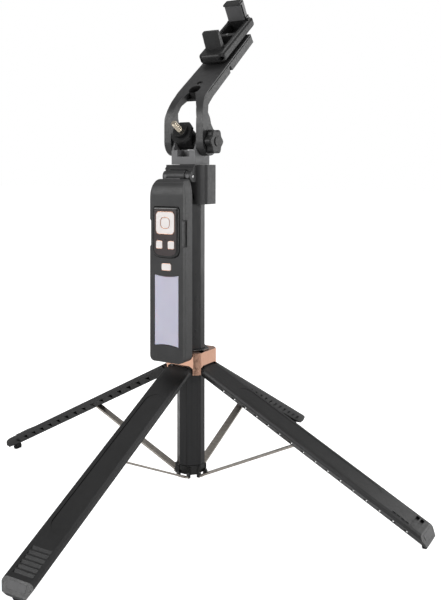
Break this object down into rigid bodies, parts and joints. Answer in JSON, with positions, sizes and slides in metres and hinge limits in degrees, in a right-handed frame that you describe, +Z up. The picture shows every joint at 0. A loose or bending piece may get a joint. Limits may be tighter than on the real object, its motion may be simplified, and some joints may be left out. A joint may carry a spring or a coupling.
{
  "type": "tripod selfie stick",
  "caption": "Telescopic mast on folding strut-braced legs, with a sliding collar, drop-down fill light with clip-in remote, and a tilting head with a sprung phone clamp.",
  "frame": {"origin": "on the ground, under the mast axis, with the legs open", "axes": "+Z up along the mast, -Y towards the fill light and the camera screw (front), +X to the knob side"},
  "size_m": [0.5278, 0.5278, 0.5442],
  "materials": {
    "mast_finish": "satin black anodised tube",
    "collar_finish": "rose-gold mirror plating",
    "section_finish": "satin black anodised tube",
    "body_plastic": "fine satin moulded black plastic",
    "head_plastic": "satin grey moulded plastic",
    "housing_plastic": "satin charcoal moulded plastic",
    "pad_rubber": "matt black rubber",
    "strut_steel": "brushed plated steel strap",
    "pin_steel": "plain steel pin",
    "screw_gold": "bright brass-coloured screw",
    "diffuser_plastic": "milky diffuser with a faint lavender tint",
    "button_plastic": "near-white silicone-feel button",
    "board_laminate": "green circuit board",
    "cell_metal": "bare metal cell can"
  },
  "bodies": {
    "mast_base": {"mast_outer_tube": "mast_finish", "mast_foot_hub": "body_plastic", "mast_top_cap": "body_plastic", "light_hinge_pin": "pin_steel"},
    "collar": {"collar_shell": "collar_finish", "collar_bush": "body_plastic", "leg_hinge_pin_back": "pin_steel", "leg_hinge_pin_left": "pin_steel", "leg_hinge_pin_front": "pin_steel", "leg_hinge_pin_right": "pin_steel"},
    "leg_back": {"leg_back": "body_plastic", "foot_pad_back": "pad_rubber", "strut_pin_back": "pin_steel"},
    "strut_back": {"strut_back": "strut_steel"},
    "leg_left": {"leg_left": "body_plastic", "foot_pad_left": "pad_rubber", "strut_pin_left": "pin_steel"},
    "strut_left": {"strut_left": "strut_steel"},
    "leg_front": {"leg_front": "body_plastic", "foot_pad_front": "pad_rubber", "strut_pin_front": "pin_steel"},
    "strut_front": {"strut_front": "strut_steel"},
    "leg_right": {"leg_right": "body_plastic", "foot_pad_right": "pad_rubber", "strut_pin_right": "pin_steel"},
    "strut_right": {"strut_right": "strut_steel"},
    "mast_section_1": {"mast_section_1": "section_finish"},
    "mast_section_2": {"mast_section_2": "section_finish"},
    "mast_section_3": {"mast_section_3": "section_finish"},
    "mast_section_4": {"mast_section_4": "section_finish"},
    "mast_section_5": {"mast_section_5": "section_finish", "mast_head": "head_plastic", "pivot_bolt": "pin_steel"},
    "tilt_head": {"tilt_block": "body_plastic", "camera_screw": "screw_gold"},
    "head_arm": {"head_arm": "body_plastic", "clamp_swivel_screw": "pin_steel"},
    "pivot_knob": {"pivot_knob": "body_plastic"},
    "clamp": {"clamp_frame": "body_plastic", "clamp_pad_fixed": "pad_rubber"},
    "clamp_jaw": {"clamp_jaw": "body_plastic", "clamp_pad_sliding": "pad_rubber"},
    "light": {"light_rear_shell": "housing_plastic", "light_front_shell": "housing_plastic", "light_diffuser": "diffuser_plastic", "led_board": "board_laminate", "light_battery": "cell_metal"},
    "light_button": {"light_button": "button_plastic"},
    "remote": {"remote_front_shell": "housing_plastic", "remote_rear_shell": "housing_plastic", "remote_circuit_board": "board_laminate", "remote_cell": "cell_metal", "remote_button_plate": "button_plastic"},
    "remote_shutter_button": {"remote_shutter_button": "button_plastic"},
    "remote_left_button": {"remote_left_button": "button_plastic"},
    "remote_right_button": {"remote_right_button": "button_plastic"}
  },
  "joints": [
    {"name": "collar_slide", "type": "slide", "parent": "mast_base", "child": "collar", "axis": [0, 0, 1], "range_m": [0, 0.14506]},
    {"name": "leg_fold_back", "type": "hinge", "parent": "collar", "child": "leg_back", "pos_m": [0, 0.0172, 0.137], "axis": [-1, 0, 0], "range_deg": [0, 62.5]},
    {"name": "strut_turn_back", "type": "hinge", "parent": "leg_back", "child": "strut_back", "pos_m": [0, 0.13396, 0.07543], "axis": [-1, 0, 0], "range_deg": [-127.36, 0]},
    {"name": "leg_fold_left", "type": "hinge", "parent": "collar", "child": "leg_left", "pos_m": [-0.0172, 0, 0.137], "axis": [0, -1, 0], "range_deg": [0, 62.5]},
    {"name": "strut_turn_left", "type": "hinge", "parent": "leg_left", "child": "strut_left", "pos_m": [-0.13396, 0, 0.07543], "axis": [0, -1, 0], "range_deg": [-127.36, 0]},
    {"name": "leg_fold_front", "type": "hinge", "parent": "collar", "child": "leg_front", "pos_m": [0, -0.0172, 0.137], "axis": [1, 0, 0], "range_deg": [0, 62.5]},
    {"name": "strut_turn_front", "type": "hinge", "parent": "leg_front", "child": "strut_front", "pos_m": [0, -0.13396, 0.07543], "axis": [1, 0, 0], "range_deg": [-127.36, 0]},
    {"name": "leg_fold_right", "type": "hinge", "parent": "collar", "child": "leg_right", "pos_m": [0.0172, 0, 0.137], "axis": [0, 1, 0], "range_deg": [0, 62.5]},
    {"name": "strut_turn_right", "type": "hinge", "parent": "leg_right", "child": "strut_right", "pos_m": [0.13396, 0, 0.07543], "axis": [0, 1, 0], "range_deg": [-127.36, 0]},
    {"name": "mast_extend_1", "type": "slide", "parent": "mast_base", "child": "mast_section_1", "axis": [0, 0, 1], "range_m": [0, 0.235]},
    {"name": "mast_extend_2", "type": "slide", "parent": "mast_section_1", "child": "mast_section_2", "axis": [0, 0, 1], "range_m": [0, 0.235]},
    {"name": "mast_extend_3", "type": "slide", "parent": "mast_section_2", "child": "mast_section_3", "axis": [0, 0, 1], "range_m": [0, 0.235]},
    {"name": "mast_extend_4", "type": "slide", "parent": "mast_section_3", "child": "mast_section_4", "axis": [0, 0, 1], "range_m": [0, 0.235]},
    {"name": "mast_extend_5", "type": "slide", "parent": "mast_section_4", "child": "mast_section_5", "axis": [0, 0, 1], "range_m": [0, 0.235]},
    {"name": "tilt_block_turn", "type": "hinge", "parent": "mast_section_5", "child": "tilt_head", "pos_m": [0, 0, 0.3759], "axis": [1, 0, 0], "range_deg": [-60, 20]},
    {"name": "arm_tilt", "type": "hinge", "parent": "mast_section_5", "child": "head_arm", "pos_m": [0, 0, 0.3759], "axis": [1, 0, 0], "range_deg": [-131, 49]},
    {"name": "knob_turn", "type": "hinge", "parent": "mast_section_5", "child": "pivot_knob", "pos_m": [0.029, 0, 0.3759], "axis": [1, 0, 0], "continuous": true},
    {"name": "clamp_swivel", "type": "hinge", "parent": "head_arm", "child": "clamp", "pos_m": [0, 0.08505, 0.49459], "axis": [0, -0.6018, 0.7986], "range_deg": [-90, 90]},
    {"name": "jaw_slide", "type": "slide", "parent": "clamp", "child": "clamp_jaw", "axis": [0, 0.7986, 0.6018], "range_m": [0, 0.03], "stiffness_N_per_m": 60, "springref_m": -0.02},
    {"name": "light_tilt", "type": "hinge", "parent": "mast_base", "child": "light", "pos_m": [0, -0.0225, 0.339], "axis": [-1, 0, 0], "range_deg": [0, 90]},
    {"name": "light_button_press", "type": "slide", "parent": "light", "child": "light_button", "axis": [0, 1, 0], "range_m": [0, 0.0005], "stiffness_N_per_m": 400, "springref_m": -0.0005},
    {"name": "remote_unclip", "type": "slide", "parent": "light", "child": "remote", "axis": [0, -1, 0], "range_m": [0, 0.03]},
    {"name": "remote_shutter_button_press", "type": "slide", "parent": "remote", "child": "remote_shutter_button", "axis": [0, 1, 0], "range_m": [0, 0.0005], "stiffness_N_per_m": 400, "springref_m": -0.0005},
    {"name": "remote_left_button_press", "type": "slide", "parent": "remote", "child": "remote_left_button", "axis": [0, 1, 0], "range_m": [0, 0.0005], "stiffness_N_per_m": 400, "springref_m": -0.0005},
    {"name": "remote_right_button_press", "type": "slide", "parent": "remote", "child": "remote_right_button", "axis": [0, 1, 0], "range_m": [0, 0.0005], "stiffness_N_per_m": 400, "springref_m": -0.0005}
  ],
  "couplings": [
    {"joint": "leg_fold_back", "follows": "collar_slide", "rad_per_m": 7.5198},
    {"joint": "strut_turn_back", "follows": "collar_slide", "rad_per_m": -15.324},
    {"joint": "leg_fold_left", "follows": "collar_slide", "rad_per_m": 7.5198},
    {"joint": "strut_turn_left", "follows": "collar_slide", "rad_per_m": -15.324},
    {"joint": "leg_fold_front", "follows": "collar_slide", "rad_per_m": 7.5198},
    {"joint": "strut_turn_front", "follows": "collar_slide", "rad_per_m": -15.324},
    {"joint": "leg_fold_right", "follows": "collar_slide", "rad_per_m": 7.5198},
    {"joint": "strut_turn_right", "follows": "collar_slide", "rad_per_m": -15.324},
    {"joint": "light_tilt", "follows": "collar_slide", "rad_per_m": 10.829}
  ]
}
